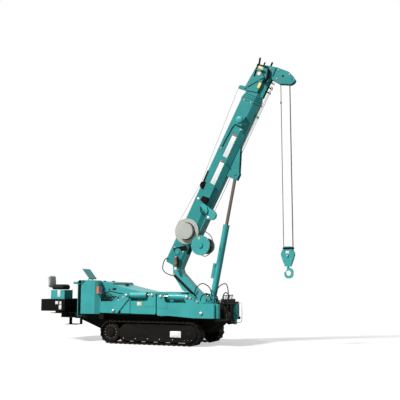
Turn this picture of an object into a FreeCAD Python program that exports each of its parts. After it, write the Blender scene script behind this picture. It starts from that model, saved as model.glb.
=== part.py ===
# Spider crane on tracks, parked with its boom raised: every piece is built in place, in millimetres.
# +X is forward, +Y the machine's left, +Z up; the origin lies on the ground under the middle of the whole length.
import FreeCAD, Part
import os
import math

os.makedirs("parts", exist_ok=True)
V = FreeCAD.Vector

# the tracks' middle, from which all x below are counted, lies this far from the origin
centre_shift = -110.0

# tracks
track_y = 726.0
shoe_width = 400.0
wheel_x = 1270.0
lug_radius = 335.0
wheel_z = lug_radius
shoe_radius = lug_radius - 21.0
belt_radius = lug_radius - 47.0
shoe_count = 46

# chassis and deck
deck_half_width = 600.0
deck_bottom = 690.0
deck_top = 840.0
hood_half_width = 600.0
hood_wall = 12.0
cabinet_depth = 255.0
hinge_gap = 170.0
ear_lap = 40.0
ear_reach = 80.0

# slewing column
slew_x = 1425.0
ring_radius = 470.0
ring_bottom = 1150.0
ring_top = 1210.0
neck_half_width = 148.0

# boom
boom_angle = 62.8
pivot = (570.0, 2660.0)
base_start = -420.0
base_end = 4955.0
section_step = 16.0
wall = 8.0

# luffing cylinder, in the plane y = 0
luff_foot = (1615.0, 1311.0)
luff_eye = (2348.0, 4890.0)

# hook
hang = (3890.0, 7606.0)
rope_offset = 140.0
rope_radius = 7.0
block_top = 2766.0

# outriggers: hinge line of the swing, arm pin, cylinder pins, measured from the hinge
hinge_y = max(hood_half_width, deck_half_width) + hinge_gap
arm_pin = (441.0, 947.0)
ram_pin = (878.0, 1392.0)
arm_end = 1826.0
lug_pin = (arm_end - 120.0, 1402.0)


nodes = {}


def box(x0, x1, y0, y1, z0, z1):
    return Part.makeBox(x1 - x0, y1 - y0, z1 - z0, V(x0, y0, z0))


def prism(points, y0, y1):
    # outline given as x, z; pulled from y0 to y1
    ring = [V(x, y0, z) for x, z in points]
    face = Part.Face(Part.makePolygon(ring + [ring[0]]))
    return face.extrude(V(0, y1 - y0, 0))


def plate(corners, y0, y1):
    # outline given as x, z, corner radius; every corner is a tangent arc; pulled from y0 to y1
    n = len(corners)
    edges = []
    starts = []
    ends = []
    for k in range(n):
        x, z, r = corners[k]
        here = V(x, y0, z)
        back = V(corners[k - 1][0], y0, corners[k - 1][1]) - here
        on = V(corners[(k + 1) % n][0], y0, corners[(k + 1) % n][1]) - here
        half = back.getAngle(on) / 2
        reach = r / math.tan(half)
        back.normalize()
        on.normalize()
        middle = back + on
        middle.normalize()
        a = here + back * reach
        b = here + on * reach
        starts.append(a)
        ends.append(b)
        if r > 0:
            edges.append(Part.Arc(a, here + middle * (r / math.sin(half) - r), b).toShape())
    for k in range(n):
        a = ends[k]
        b = starts[(k + 1) % n]
        if (b - a).Length > 0.01:
            edges.append(Part.LineSegment(a, b).toShape())
    wire = Part.Wire(Part.__sortEdges__(edges))
    return Part.Face(wire).extrude(V(0, y1 - y0, 0))


def plan(points, z0, z1):
    # outline given as x, y; pulled from z0 to z1
    ring = [V(x, y, z0) for x, y in points]
    face = Part.Face(Part.makePolygon(ring + [ring[0]]))
    return face.extrude(V(0, 0, z1 - z0))


def rod(a, b, radius):
    a = V(*a)
    b = V(*b)
    return Part.makeCylinder(radius, (b - a).Length, a, b - a)


def pin(x, z, radius, y0, y1):
    return Part.makeCylinder(radius, y1 - y0, V(x, y0, z), V(0, 1, 0))


def disc(x, y, radius, z0, z1):
    return Part.makeCylinder(radius, z1 - z0, V(x, y, z0), V(0, 0, 1))


def join(*shapes):
    out = shapes[0].fuse(list(shapes[1:]))
    return out.removeSplitter()


def bar(points, radius):
    # a round bar through the points, with a ball at every bend
    pieces = []
    for a, b in zip(points, points[1:]):
        pieces.append(rod(a, b, radius))
    for p in points[1:-1]:
        pieces.append(Part.makeSphere(radius, V(*p)))
    return join(*pieces)


def mirrored(shape):
    return shape.mirror(V(0, 0, 0), V(0, 1, 0))


def turned(shape, angle, centre):
    # turned in the side view, positive lifting +X towards +Z, about centre (x, z)
    out = shape.copy()
    out.rotate(V(centre[0], 0, centre[1]), V(0, 1, 0), -angle)
    return out


def in_boom(shape):
    # from boom measures (x along it from the pivot, z square to it) to the machine
    out = shape.copy()
    out.rotate(V(0, 0, 0), V(0, 1, 0), -boom_angle)
    out.translate(V(pivot[0], 0, pivot[1]))
    return out


def along(a, b, shape):
    # shape drawn along +X from the origin, laid from a to b in the plane it has in y
    angle = math.degrees(math.atan2(b[1] - a[1], b[0] - a[0]))
    out = shape.copy()
    out.rotate(V(0, 0, 0), V(0, 1, 0), -angle)
    out.translate(V(a[0], 0, a[1]))
    return out


# TRACKS
straight = 2 * wheel_x
turn = math.pi * lug_radius
loop_length = 2 * (straight + turn)


def loop_point(s, radius):
    # point of the loop at length s, held off the wheel centres by radius
    s = s % loop_length
    if s < straight:
        return (-wheel_x + s, wheel_z - radius)
    s -= straight
    if s < turn:
        a = -math.pi / 2 + s / lug_radius
        return (wheel_x + radius * math.cos(a), wheel_z + radius * math.sin(a))
    s -= turn
    if s < straight:
        return (wheel_x - s, wheel_z + radius)
    s -= straight
    a = math.pi / 2 + s / lug_radius
    return (-wheel_x + radius * math.cos(a), wheel_z + radius * math.sin(a))


def track_outline():
    pitch = loop_length / shoe_count
    points = []
    for k in range(shoe_count):
        s = (k + 0.5) * pitch
        points.append(loop_point(s, shoe_radius))
        points.append(loop_point(s + 0.52 * pitch, shoe_radius))
        points.append(loop_point(s + 0.60 * pitch, lug_radius))
        points.append(loop_point(s + 0.92 * pitch, lug_radius))
    return points


def stadium(radius, x=wheel_x, steps=14):
    points = []
    for k in range(steps + 1):
        a = -math.pi / 2 + math.pi * k / steps
        points.append((x + radius * math.cos(a), wheel_z + radius * math.sin(a)))
    for k in range(steps + 1):
        a = math.pi / 2 + math.pi * k / steps
        points.append((-x + radius * math.cos(a), wheel_z + radius * math.sin(a)))
    return points


low = track_y - shoe_width / 2
high = track_y + shoe_width / 2
track = prism(track_outline(), low, high)
track = track.cut(prism(stadium(belt_radius), low - 1, high + 1))
nodes["track_left"] = track
nodes["track_right"] = mirrored(track)

# (x, z, radius) of the wheels that the loop runs on
wheels = [(wheel_x, wheel_z, belt_radius - 2.3), (-wheel_x, wheel_z, belt_radius - 2.3)]
for x in (-830.0, -434.0, -40.0, 350.0, 746.0):
    wheels.append((x, wheel_z - belt_radius + 105.0, 104.0))
for x in (-320.0, 430.0):
    wheels.append((x, wheel_z + belt_radius - 67.0, 66.0))
frame = box(-1150, 1150, low + 70, high - 70, wheel_z - 110, wheel_z + 95)
for x, z, radius in wheels:
    frame = frame.fuse(pin(x, z, radius, low + 60, high - 60))
    frame = frame.fuse(pin(x, z, radius * 0.35 + 12, low + 30, high - 25))
for x in (-320.0, 430.0):
    frame = frame.fuse(box(x - 40, x + 40, low + 90, high - 90, 400, 560))
frame = frame.fuse(box(-500, -260, 430, low + 80, 240, 420))
frame = frame.fuse(box(560, 800, 430, low + 80, 240, 420))
frame = frame.fuse(box(668, 1010, high - 71, high - 62, 215, 411))
frame = frame.removeSplitter()
nodes["track_frame_left"] = frame
nodes["track_frame_right"] = mirrored(frame)

# CHASSIS
deck = box(-2720, 2000, -deck_half_width, deck_half_width, deck_bottom, deck_top)
belly = prism([(-2713, 694), (-1773, 343), (1600, 343), (1990, 694)], -430, 430)
chassis = deck.fuse(belly)
# (x of the swing hinge, way the arm points, name, drop of the whole set, its lowest edge before the drop)
corners = [
    (-1620.0, 1.0, "rear", 0.0, 880.0),
    (2070.0, -1.0, "front", -40.0, 816.0),
]
for x, way, name, drop, edge in corners:
    for side in (-1, 1):
        ear = box(x - 75, x + 75, -hinge_y - ear_reach, -deck_half_width + ear_lap, deck_bottom,
                  edge + drop - (40 if way > 0 else 8))
        ear = ear.fuse(disc(x, -hinge_y, 42, deck_bottom, 1225 + drop))
        ear = ear.fuse(disc(x, -hinge_y, 58, 1221 + drop, 1245 + drop))
        if name == "front":
            ear = ear.fuse(box(1900, x, -deck_half_width - 100, -deck_half_width + ear_lap, deck_bottom, edge + drop - 8))
        if side > 0:
            ear = mirrored(ear)
        chassis = chassis.fuse(ear)
nodes["chassis_frame"] = chassis.removeSplitter()

front_body = prism([(880, 840), (2000, 840), (2000, 1140), (1960, 1190), (1930, 1190),
                    (1930, 1145), (880, 1145)], -deck_half_width - 10, deck_half_width + 10)
front_body = front_body.cut(disc(slew_x, 0, ring_radius + 30, 1100, 1300))
front_body = front_body.fuse(disc(slew_x, 0, ring_radius - 50, 1090, ring_bottom - 0.3))
nodes["front_deck"] = front_body

column = box(2000, 2120, -560, 0, 690, 1150).fuse(box(2000, 2110, 0, 560, 760, 1150))
nodes["front_frame"] = column.fuse(pin(2075, 640, 70, 60, 560)).fuse(box(2020, 2120, 60, 560, 640, 770)).removeSplitter()
bank = box(2010, 2180, -420, 480, 1150, 1185)
for k in range(7):
    y = -380 + 120 * k
    bank = bank.fuse(box(2030, 2150, y, y + 84, 1185, 1290))
    bank = bank.fuse(rod((2090, y + 42, 1285), (2075, y + 42, 1385), 9)).fuse(
        Part.makeSphere(20, V(2073, y + 42, 1395)))
nodes["valve_bank"] = bank.removeSplitter()

hood_outline = [(-2980, 840), (-2980, 1800), (-2940, 1850), (-1390, 1768), (-1354, 1700),
                (-1090, 1632), (-430, 1492), (860, 1484), (872, 1470), (872, 840)]
hood_inner = [(-2968, 800), (-2968, 1794), (-2935, 1837), (-1400, 1756), (-1364, 1690),
              (-1092, 1620), (-433, 1480), (855, 1472), (860, 1465), (860, 800)]
hood = prism(hood_outline, -hood_half_width, hood_half_width)
hood = hood.cut(prism(hood_inner, -hood_half_width + hood_wall, hood_half_width - hood_wall))
pocket_wall = prism([(-2502, 1900), (-2502, 1640), (-2406, 1640), (-2185, 1808), (-2185, 1900)],
                    -hood_half_width, -hood_half_width + 182)
pocket = prism([(-2490, 1900), (-2490, 1652), (-2412, 1652), (-2204, 1812), (-2204, 1900)],
               -hood_half_width - 20, -hood_half_width + 170)
hood = hood.fuse(pocket_wall.common(prism(hood_outline, -hood_half_width, hood_half_width))).cut(pocket)
hood = hood.cut(box(-3000, -2512, -hood_half_width - 10, -90, 800, 2000))
nodes["engine_hood"] = hood.removeSplitter()
well = join(box(-2980, -2512, -hood_half_width, -90, 840, 852), box(-2524, -2512, -hood_half_width, -90, 840, 1900),
            box(-2980, -2512, -102, -90, 840, 1900))
nodes["foot_well"] = well.common(prism(hood_outline, -hood_half_width, hood_half_width)).removeSplitter()
nodes["engine_block"] = box(-1250, -150, -400, 400, deck_top, 1400)

# OPERATOR'S STATION
cabinet_outline = [(-2352, 840), (-2352, 1660), (-2335, 1690), (-2160, 1842), (-1790, 1826),
                   (-1722, 1500), (-1722, 840)]
cabinet_inner = [(-2342, 800), (-2342, 1656), (-2328, 1680), (-2156, 1831), (-1798, 1815),
                 (-1732, 1499), (-1732, 800)]
hood_side = -hood_half_width
cabinet_side = hood_side - cabinet_depth
corner = hood_side - 170
cabinet = prism(cabinet_outline, cabinet_side, hood_side)
cabinet = cabinet.common(plan([(-2352, cabinet_side), (-1862, cabinet_side), (-1722, corner), (-1722, hood_side),
                               (-2352, hood_side)], 0, 3000))
whole_cabinet = cabinet.copy()
hollow = prism(cabinet_inner, cabinet_side + 10, hood_side - 12)
hollow = hollow.common(plan([(-2342, cabinet_side + 10), (-1865, cabinet_side + 10), (-1732, corner + 6),
                             (-1732, hood_side - 12), (-2342, hood_side - 12)], 0, 3000))
cabinet = cabinet.cut(hollow)
cabinet = join(cabinet, box(-1724, -1700, corner - 10, corner + 30, 869, 1560))
cabinet = join(cabinet, pin(-2100, 1874, 9, cabinet_side + 5, hood_side + 160),
               box(-2112, -2088, cabinet_side + 5, cabinet_side + 20, 1820, 1874),
               box(-2112, -2088, hood_side - 25, hood_side - 10, 1820, 1874))
nodes["console_cabinet"] = cabinet

knuckle = (hood_side - 200, hood_side - 60)
lid = prism([(-10, -34), (375, -34), (375, -22), (-10, -22)], cabinet_side + 7, hood_side + 160)
lid = lid.fuse(pin(0, 0, 15, *knuckle)).fuse(prism([(-10, -28), (30, -28), (12, -4), (-10, -4)], *knuckle))
lid = lid.cut(pin(0, 0, 9.3, -hinge_y - 130, hood_side + 200))
lid = turned(lid, 131, (0, 0))
lid.translate(V(-2100, 0, 1874))
nodes["console_lid"] = lid.removeSplitter()

lamp_y = cabinet_side + 4
shelf = box(-1800, -1580, lamp_y - 61, lamp_y + 91, 1448, 1456).cut(whole_cabinet)
nodes["beacon_bracket"] = shelf.cut(nodes["console_cabinet"])
nodes["beacon_orange"] = disc(-1730, lamp_y, 56, 1456, 1651)
nodes["beacon_blue"] = disc(-1624, lamp_y, 38, 1486, 1633).fuse(disc(-1624, lamp_y, 13, 1456, 1490))

nodes["rear_box"] = join(box(-3990, -3100, -620, 620, 892, 1262), box(-3300, -2720, -500, 500, 700, 838),
                         box(-3300, -3120, -500, 500, 700, 892))
nodes["seat_base"] = box(-3660, -3150, -575, -140, 1262, 1540)
cushion = box(-3700, -3160, -590, -120, 1540, 1711).fuse(box(-3860, -3690, -560, -150, 1540, 1600))
nodes["seat_cushion"] = cushion.removeSplitter()
back = turned(box(-3860, -3775, -570, -140, 1600, 2020), -4, (-3860, 1600))
nodes["seat_back"] = back.cut(cushion)

steps = join(box(-3425, -3016, -900, -500, 838, 852), box(-3060, -2663, -900, -500, 722, 736),
             box(-3060, -3016, -640, -500, 722, 852), box(-2857, -2457, -900, -560, 512, 526),
             box(-2857, -2843, -700, -560, 512, 736), box(-2530, -2470, -620, -560, 512, 700),
             box(-2660, -2457, -620, -560, 690, 720), box(-2760, -2640, -640, -560, 722, 736),
             box(-3425, -3300, -640, -500, 838, 892))
nodes["rear_steps"] = steps.cut(nodes["rear_box"]).cut(nodes["chassis_frame"])
rail_y = hood_side - 212
rail = bar([(-2470, -deck_half_width + ear_lap, 760), (-2485, rail_y, 760), (-2490, rail_y, 1723),
            (-2490, hood_side - 10, 1723), (-2490, hood_side + 2, 1723)], 14)
nodes["grab_rail"] = rail.cut(nodes["engine_hood"]).cut(nodes["chassis_frame"])


# OUTRIGGERS
def outrigger(edge):
    # drawn with the swing hinge on x = 0 and the arm pointing along +X; edge is the height of the lowest edge
    low = [(60, edge, 0), (573 - (880 - edge) * 0.8, edge, 25), (930, 1280, 30), (960, 1400, 60), (890, 1478, 55),
           (800, 1468, 50), (545, 1215, 40), (60, 1215, 0)]
    cheeks = plate(low, 112, 130).fuse(plate(low, -130, -112))
    web = box(40, 120, -112, 112, edge, 1205)
    tube = disc(0, 0, 66, edge, 1215)
    bracket = cheeks.fuse(web).fuse(tube)
    bracket = bracket.fuse(pin(arm_pin[0], arm_pin[1], 62, 130, 138)).fuse(
        pin(arm_pin[0], arm_pin[1], 62, -138, -130))
    bracket = bracket.fuse(pin(ram_pin[0], ram_pin[1], 58, 130, 138)).fuse(
        pin(ram_pin[0], ram_pin[1], 58, -138, -130))
    bracket = bracket.fuse(pin(arm_pin[0], arm_pin[1], 30, -150, 150))
    bracket = bracket.fuse(pin(ram_pin[0], ram_pin[1], 30, -150, 150))
    for x, z in ((640, 1300), (745, 1352)):
        bracket = bracket.cut(pin(x, z, 26, -200, 200))
    bracket = bracket.cut(disc(0, 0, 42.3, 800, 1600)).removeSplitter()

    arm = plate([(330, edge, 60), (700, edge, 200), (arm_end - 426, 866, 300), (arm_end - 36, 866, 10),
                 (arm_end, 900, 10), (arm_end, 1244, 8), (430, 1244, 60),
                 (330, 1080, 90)], -104, 104)
    arm = arm.cut(pin(arm_pin[0], arm_pin[1], 30.3, -200, 200))
    lug = [(arm_end - 326, 1100, 0), (arm_end - 196, 1462, 55), (arm_end - 26, 1462, 45), (arm_end, 1390, 10),
           (arm_end, 1100, 0)]
    arm = arm.fuse(plate(lug, 100, 112)).fuse(plate(lug, -112, -100))
    arm = arm.fuse(plate([(arm_end - 356, 1082, 12), (arm_end - 326, 1244, 0), (arm_end, 1244, 0), (arm_end, 1082, 0)], 103, 112))
    arm = arm.fuse(pin(lug_pin[0], lug_pin[1], 46, 112, 124)).fuse(pin(lug_pin[0], lug_pin[1], 46, -124, -112))
    arm = arm.fuse(disc(arm_end - 126, 0, 40, 850, 880)).fuse(disc(arm_end - 126, 0, 62, 846, 862))
    arm = arm.removeSplitter()

    barrel = rod((70, 0, 0), (610, 0, 0), 88).fuse(plate([(-55, -55, 50), (90, -75, 0), (90, 75, 0), (-55, 55, 50)],
                                                       -60, 60))
    barrel = barrel.fuse(rod((560, 0, 0), (610, 0, 0), 94))
    barrel = barrel.cut(rod((110, 0, 0), (585, 0, 0), 70)).cut(rod((580, 0, 0), (611, 0, 0), 38.3))
    barrel = barrel.cut(pin(0, 0, 30.3, -70, 70)).removeSplitter()
    span = math.hypot(lug_pin[0] - ram_pin[0], lug_pin[1] - ram_pin[1])
    stem = rod((130, 0, 0), (span - 30, 0, 0), 38).fuse(rod((120, 0, 0), (160, 0, 0), 69.7))
    stem = stem.fuse(pin(span, 0, 62, -60, 60)).removeSplitter()
    return {
        "bracket": bracket,
        "arm": arm,
        "ram_barrel": along(ram_pin, lug_pin, barrel),
        "ram_rod": along(ram_pin, lug_pin, stem),
    }


for x, way, end, drop, edge in corners:
    for side, side_name in ((-1, "right"), (1, "left")):
        for kind, shape in outrigger(edge).items():
            piece = shape.copy()
            if way < 0:
                piece = piece.mirror(V(0, 0, 0), V(1, 0, 0))
            if side < 0:
                piece = mirrored(piece)
            piece.translate(V(x, side * hinge_y, drop))
            nodes["outrigger_" + kind + "_" + end + "_" + side_name] = piece

# SLEWING COLUMN
turntable = disc(slew_x, 0, ring_radius, ring_bottom, ring_top)
for side in (-1, 1):
    ear = prism([(1480, 1205), (1750, 1205), (1700, 1370), (1640, 1405), (1590, 1405), (1530, 1350)],
                min(side * 112, side * 140), max(side * 112, side * 140))
    turntable = turntable.fuse(ear)
turntable = turntable.fuse(pin(luff_foot[0], luff_foot[1], 35, -150, 150))
turntable = turntable.removeSplitter()
nodes["turntable"] = turntable
neck_outline = [(1000, 1210), (1450, 1210), (1450, 1290), (1363, 1375), (1125, 1584), (858, 1865), (679, 2048),
                (643, 2159), (649, 2200), (830, 2591), (740, 2660), (345, 2560), (315, 2436), (394, 2239),
                (396, 1991), (697, 1551), (760, 1500), (884, 1500), (930, 1440), (1000, 1380)]
neck = prism(neck_outline, -neck_half_width, neck_half_width)
neck = neck.fuse(pin(pivot[0], pivot[1], 200, -neck_half_width, neck_half_width))
neck = neck.fuse(pin(pivot[0], pivot[1], 60, -215, 215)).removeSplitter()
nodes["neck"] = neck
stack = disc(560, -290, 30, 2112, 2200).fuse(disc(560, -290, 26, 2200, 2520))
stack = stack.fuse(box(540, 580, -290, -neck_half_width, 2115, 2135))
nodes["lamp_stack"] = stack.removeSplitter()


# BOOM
def outline(inset, x):
    # the boom's outline drawn in by inset, all round
    i = inset
    half = [(150 - 0.414 * i, 240 - i), (190 - i, 200 - 0.414 * i), (190 - i, -185 + 0.258 * i),
            (105 - 0.592 * i, -340 + i)]
    ring = [V(x, y, z) for y, z in half] + [V(x, -y, z) for y, z in reversed(half)]
    return Part.makePolygon(ring + [ring[0]])


def section(inset, x0, x1):
    return Part.Face(outline(inset, x0)).extrude(V(x1 - x0, 0, 0))


base = section(0, base_start, base_end)
base = base.fuse(section(-14, base_end - 60, base_end))
base = base.fuse(box(-372, 387, -150, 150, 215, 262))
bracket_outline = [(2640, -330), (2655, -690), (2850, -690), (2900, -650), (3644, -330)]
base = base.fuse(prism(bracket_outline, 62, 88)).fuse(prism(bracket_outline, -88, -62))
base = base.fuse(prism([(1818, 24), (2207, 58), (2222, -235), (1855, -240)], -300, -180))
base = base.fuse(box(4130, 4430, -262, -180, -180, 70))
base = base.fuse(box(4545, 4600, -60, 60, -390, -330))
base = base.cut(section(wall, base_start + 10, base_end - 60))
tail_half = neck_half_width + 4
base = base.cut(box(base_start - 10, 330, -tail_half, tail_half, -400, 150))
base = base.cut(section(section_step - 0.3, base_end - 70, base_end + 10))
eye = (luff_eye[0] - pivot[0], luff_eye[1] - pivot[1])
turn_back = math.radians(-boom_angle)
eye_along = eye[0] * math.cos(turn_back) - eye[1] * math.sin(turn_back)
eye_square = eye[0] * math.sin(turn_back) + eye[1] * math.cos(turn_back)
base = base.fuse(pin(eye_along, eye_square, 40, -104, -80)).fuse(pin(eye_along, eye_square, 40, 80, 104))
base = base.cut(pin(0, 0, 60.3, -300, 300))
base = base.fuse(pin(0, 0, 110, -197, -183).cut(pin(0, 0, 60.3, -300, 300)))
base = base.fuse(pin(0, 0, 110, 183, 197).cut(pin(0, 0, 60.3, -300, 300)))
nodes["boom_base"] = in_boom(base.removeSplitter())

ends = [5015.0, 5070.0, 5130.0]
for k in range(3):
    inset = section_step * (k + 1)
    start = 330 + 50 * k
    collar = section(inset - 18, ends[k] - 44, ends[k])
    body = section(inset, start, ends[k]).fuse(collar)
    body = body.cut(section(inset + wall, start - 10, ends[k] - 60))
    body = body.cut(section(inset + section_step - 0.3, ends[k] - 70, ends[k] + 10))
    nodes["boom_section_%d" % (k + 2)] = in_boom(body)

cheek = [(5142, 240), (6000, 235), (6066, -61), (6108, -358), (6108, -739), (6040, -905), (5955, -1020),
         (5880, -1020), (5790, -954), (5690, -630), (5729, -348), (5600, -330), (5142, -330)]
head = prism(cheek, 62, 84).fuse(prism(cheek, -84, -62))
head = head.fuse(section(section_step * 3 - 4, 5130, 5200))
head = head.fuse(box(5142, 5620, -90, 90, -300, 230))
head = head.fuse(box(5600, 5850, -70, 70, 190, 222))
head = head.fuse(prism([(5160, 230), (5150, 520), (5250, 520), (5300, 230)], 20, 34))
head = head.fuse(prism([(5160, 230), (5150, 520), (5250, 520), (5300, 230)], -34, -20))
head = head.fuse(pin(5204, 480, 58, -20, 20))
side_plate = [(5148, 290), (5848, 225), (5970, 195), (5690, -150), (5220, -150)]
head = head.fuse(prism(side_plate, -172, -160)).fuse(prism(side_plate, 160, 172))
head = head.fuse(box(5210, 5600, -165, 165, -100, 200))
# (x and z of the middle of each horn's root and tip)
for x0, z0, x1, z1 in ((5870, 200, 6205, 300), (5870, 70, 6130, 98), (5870, -121, 6205, -120)):
    head = head.fuse(prism([(x0, z0 - 12), (x1, z1 - 14), (x1, z1 + 14), (x0, z0 + 12)], -12, 12))
    head = head.fuse(box(x0, x0 + 22, -70, 70, z0 - 12, z0 + 12))
nodes["boom_head"] = in_boom(head.removeSplitter())
sheave = pin(hang[0], hang[1], 132.7, -22, 22).fuse(pin(hang[0], hang[1], 40, -70, 70))
jib_bore = in_boom(pin(5950, -930, 20, -200, 200))
nodes["boom_head"] = nodes["boom_head"].fuse(sheave).cut(jib_bore).removeSplitter()

winch_at = (506.0, -602.0)
winch = box(340, 1560, -186, 186, -362, -341)
for y in (-186, 166):
    winch = winch.fuse(pin(winch_at[0], winch_at[1], 235, y, y + 20)).fuse(box(350, 660, y, y + 20, -480, -341))
winch = winch.fuse(pin(winch_at[0], winch_at[1], 235, -230, -180)).fuse(pin(winch_at[0], winch_at[1], 290, -290, -230))
winch = winch.fuse(pin(winch_at[0], winch_at[1], 75, -320, -285)).fuse(pin(winch_at[0], winch_at[1], 235, 180, 250))
winch = winch.fuse(box(1320, 1545, -200, -178, -519, -341)).fuse(pin(1432, -519, 140, -300, -186))
winch = winch.fuse(prism([(1318, -513), (1560, -71), (1642, -124), (1570, -500)], -300, -192))
winch = winch.cut(pin(winch_at[0], winch_at[1], 40.3, -178, 178))
nodes["winch_frame"] = in_boom(winch.removeSplitter())
drum = pin(winch_at[0], winch_at[1], 130, -140, 140).fuse(pin(winch_at[0], winch_at[1], 222, -140, -126)).fuse(
    pin(winch_at[0], winch_at[1], 222, 126, 140))
drum = drum.fuse(pin(winch_at[0], winch_at[1], 40, -177, 177))
nodes["winch_drum"] = in_boom(drum.removeSplitter())

reel = pin(672, 8, 380, -224, -204).fuse(pin(672, 8, 240, -345, -220)).fuse(pin(672, 8, 110, -224, -190))
nodes["cable_reel"] = in_boom(reel.removeSplitter())

# LUFFING CYLINDER
reach = math.hypot(luff_eye[0] - luff_foot[0], luff_eye[1] - luff_foot[1])
barrel = rod((60, 0, 0), (2160, 0, 0), 94).fuse(pin(0, 0, 92, -106, 106))
barrel = barrel.cut(rod((200, 0, 0), (2110, 0, 0), 76)).cut(rod((2100, 0, 0), (2161, 0, 0), 49.3))
barrel = barrel.cut(pin(0, 0, 35.3, -200, 200))
barrel = barrel.fuse(box(560, 1000, -60, 60, 85, 165).cut(rod((500, 0, 0), (1100, 0, 0), 90)))
nodes["luff_barrel"] = along(luff_foot, luff_eye, barrel.removeSplitter())
stem = rod((1600, 0, 0), (reach - 30, 0, 0), 49).fuse(rod((1600, 0, 0), (1680, 0, 0), 75.7))
stem = stem.fuse(pin(reach, 0, 70, -56, 56)).removeSplitter()
nodes["luff_rod"] = along(luff_foot, luff_eye, stem.removeSplitter())

# HOOK
left_rope = rod((hang[0] - rope_offset, 0, block_top - 60), (hang[0] - rope_offset, 0, hang[1]), rope_radius)
right_rope = rod((hang[0] + rope_offset, 0, block_top - 60), (hang[0] + rope_offset, 0, hang[1]), rope_radius)
nodes["hoist_rope_rear"] = left_rope
nodes["hoist_rope_front"] = right_rope

hx = hang[0] - 15
half = [(100, 2751), (130, 2680), (190, 2560), (190, 2510), (150, 2380), (80, 2198)]
cheek = [(hx + x, z) for x, z in half] + [(hx - x, z) for x, z in reversed(half)]
block = prism(cheek, 34, 60).fuse(prism(cheek, -60, -34)).fuse(pin(hx, 2530, 125, -20, 20))
block = block.fuse(pin(hx, 2530, 36, -76, 76)).fuse(box(hx - 80, hx + 80, -50, 50, 2198, 2310))
block = block.fuse(box(hx - 134, hx + 164, -34, 34, 2660, block_top - 60.3))
block = block.cut(disc(hx, 0, 26.3, 2190, 2290))
nodes["hook_block"] = block.removeSplitter()
hook = plate([(hx - 34, 2170, 10), (hx + 40, 2170, 20), (hx + 140, 2100, 60), (hx + 140, 1870, 115),
              (hx - 110, 1870, 105), (hx - 110, 2150, 30)], -27, 27)
hook = hook.cut(pin(hx + 6, 2012, 74, -30, 30))
hook = hook.cut(prism([(hx - 120, 2048), (hx - 120, 2180), (hx - 34, 2180), (hx - 34, 2085), (hx - 20, 2030)],
                      -30, 30))
hook = hook.fuse(prism([(hx - 40, 2110), (hx - 20, 2100), (hx - 80, 2030), (hx - 96, 2040)], -7, 7))
hook = hook.fuse(disc(hx, 0, 26, 2160, 2285))
nodes["hook"] = hook.removeSplitter()

for name, shape in nodes.items():
    shape.translate(V(centre_shift, 0, 0))
    shape.exportStep("parts/" + name + ".step")
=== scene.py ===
import bpy
import bmesh
import math
import numpy as np
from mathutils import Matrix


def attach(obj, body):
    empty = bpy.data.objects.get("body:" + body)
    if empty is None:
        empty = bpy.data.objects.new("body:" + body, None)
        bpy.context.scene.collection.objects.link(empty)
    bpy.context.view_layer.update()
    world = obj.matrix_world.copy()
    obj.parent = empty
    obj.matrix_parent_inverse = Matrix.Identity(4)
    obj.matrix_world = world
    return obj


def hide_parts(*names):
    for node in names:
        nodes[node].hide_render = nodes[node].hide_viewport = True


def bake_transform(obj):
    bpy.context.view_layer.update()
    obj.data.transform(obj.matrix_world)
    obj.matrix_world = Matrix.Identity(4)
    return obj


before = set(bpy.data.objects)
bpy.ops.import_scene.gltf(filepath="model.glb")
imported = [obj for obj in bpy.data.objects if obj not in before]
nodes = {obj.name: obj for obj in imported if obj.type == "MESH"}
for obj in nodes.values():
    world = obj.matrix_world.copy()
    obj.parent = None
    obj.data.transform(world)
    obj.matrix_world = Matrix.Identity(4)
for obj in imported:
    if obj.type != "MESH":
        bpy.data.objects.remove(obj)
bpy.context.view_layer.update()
print("stage: frame loaded,", len(nodes), "nodes")

# MEASURES shared by the pieces: millimetres in the machine's own frame, as in the part's source
machine = {"shift": -110.0, "boomAngle": 62.8, "pivot": (570.0, 2660.0), "hang": (3890.0, 7606.0)}


def at(points):
    # millimetres in the machine's frame to metres in the scene, for one point or an array of them
    p = np.atleast_2d(np.asarray(points, float)) * 1.0
    p[:, 0] += machine["shift"]
    return p / 1000.0


def onBoom(points):
    # along, across and up in the boom's own measures, turned by the boom's angle about its pivot
    p = np.atleast_2d(np.asarray(points, float))
    a = math.radians(machine["boomAngle"])
    x = machine["pivot"][0] + p[:, 0] * math.cos(a) - p[:, 2] * math.sin(a)
    z = machine["pivot"][1] + p[:, 0] * math.sin(a) + p[:, 2] * math.cos(a)
    return np.stack([x, p[:, 1], z], 1)


# SURFACES: each is a pair of arrays, points and quads; welds are in metres, the sharp edge's angle in degrees
mending = {"weld": 0.00002, "shortest": 0.00001, "sharp": 38}


def gridQuads(rows, cols, wrap):
    # every cell of a rows by cols grid as four corner numbers; wrap joins the last column to the first
    r = np.arange(rows - 1)[:, None]
    c = np.arange(cols if wrap else cols - 1)[None, :]
    n = (c + 1) % cols
    return np.stack([r * cols + c, r * cols + n, (r + 1) * cols + n, (r + 1) * cols + c], -1).reshape(-1, 4)


def smoothLine(points, steps):
    # a Catmull-Rom curve through the points: each span is a cubic of its two ends and their neighbours
    p = np.asarray(points, float)
    p = np.vstack([2 * p[0] - p[1], p, 2 * p[-1] - p[-2]])
    t = np.linspace(0, 1, steps, endpoint=False)[None, :, None]
    a, b, c, d = p[:-3, None], p[1:-2, None], p[2:-1, None], p[3:, None]
    q = 0.5 * (2 * b + (c - a) * t + (2 * a - 5 * b + 4 * c - d) * t ** 2 + (3 * b - a - 3 * c + d) * t ** 3)
    return np.vstack([q.reshape(-1, 3), p[-2][None]])


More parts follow.
